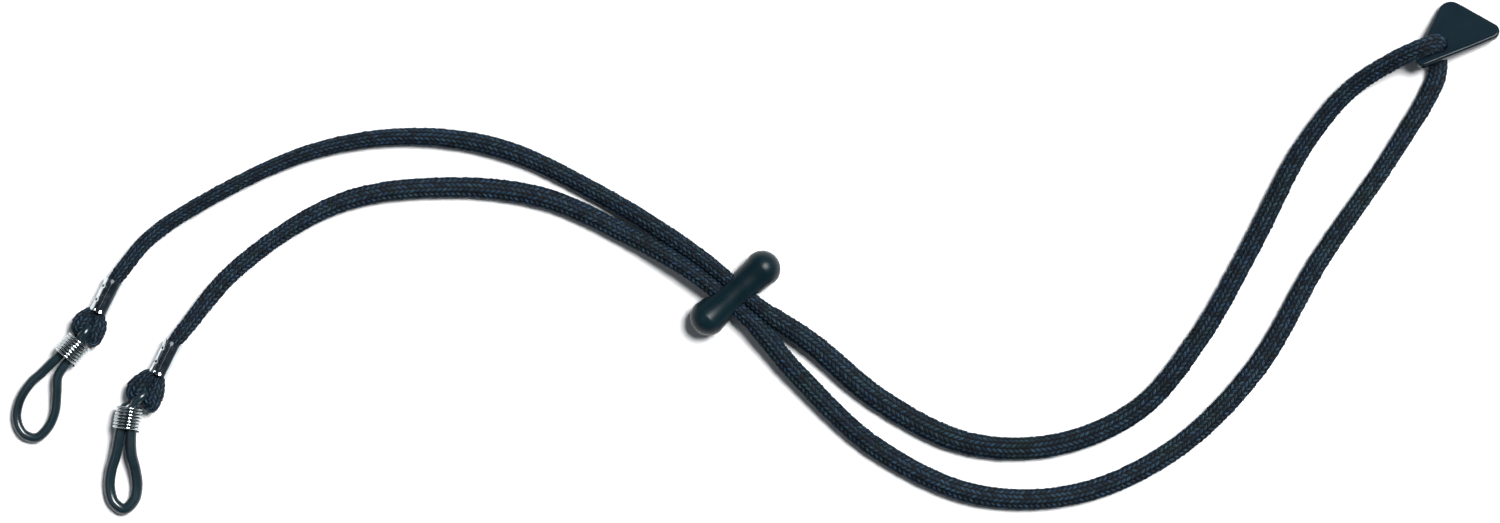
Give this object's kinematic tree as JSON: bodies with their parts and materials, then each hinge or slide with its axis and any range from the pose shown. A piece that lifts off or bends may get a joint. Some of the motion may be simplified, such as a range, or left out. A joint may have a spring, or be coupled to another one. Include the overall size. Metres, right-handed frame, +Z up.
{
  "type": "eyeglass retainer strap",
  "caption": "Braided neck cord with a rubber slider bead, a pull tab, crimped ferrules and coil-pinched rubber loops that grip the temples of spectacles.",
  "frame": {"origin": "middle of the plan outline, on the surface that the strap lies on", "axes": "+X from the temple loops towards the pull tab, +Z up from the surface, +Y across"},
  "size_m": [0.2755, 0.0948, 0.0081],
  "materials": {
    "cord": "braided polyester, dark navy",
    "bead": "soft satin rubber",
    "tab": "moulded, half gloss",
    "ferrule": "nickel plated sheet",
    "spring": "bright plated wire",
    "loop": "smooth moulded rubber"
  },
  "bodies": {
    "cord": {"neck_cord": "cord", "ferrule_left": "ferrule", "ferrule_right": "ferrule", "cord_eye_left": "cord", "cord_eye_right": "cord"},
    "slider": {"slider_bead": "bead"},
    "tab": {"pull_tab": "tab"},
    "loop_left": {"temple_loop_left": "loop"},
    "loop_right": {"temple_loop_right": "loop"},
    "coil_left": {"coil_spring_left": "spring"},
    "coil_right": {"coil_spring_right": "spring"}
  },
  "joints": [
    {"name": "slider_slide", "type": "slide", "parent": "cord", "child": "slider", "axis": [0.7716, -0.6361, 0], "range_m": [-0.006, 0.003]},
    {"name": "tab_swing", "type": "hinge", "parent": "cord", "child": "tab", "pos_m": [0.1268, 0.03935, 0.00365], "axis": [0, 0.3256, 0.9455], "range_deg": [-25, 25]},
    {"name": "loop_left_swing", "type": "hinge", "parent": "cord", "child": "loop_left", "pos_m": [-0.12269, -0.01267, 0.00275], "axis": [0, 0, 1], "range_deg": [-40, 12]},
    {"name": "loop_right_swing", "type": "hinge", "parent": "cord", "child": "loop_right", "pos_m": [-0.11204, -0.02489, 0.00275], "axis": [0, 0, 1], "range_deg": [-12, 40]},
    {"name": "coil_left_slide", "type": "slide", "parent": "loop_left", "child": "coil_left", "axis": [-0.6782, -0.7349, 0], "range_m": [0, 0.006], "deforming": ["temple_loop_left"]},
    {"name": "coil_right_slide", "type": "slide", "parent": "loop_right", "child": "coil_right", "axis": [-0.1736, -0.9848, 0], "range_m": [0, 0.006], "deforming": ["temple_loop_right"]}
  ]
}
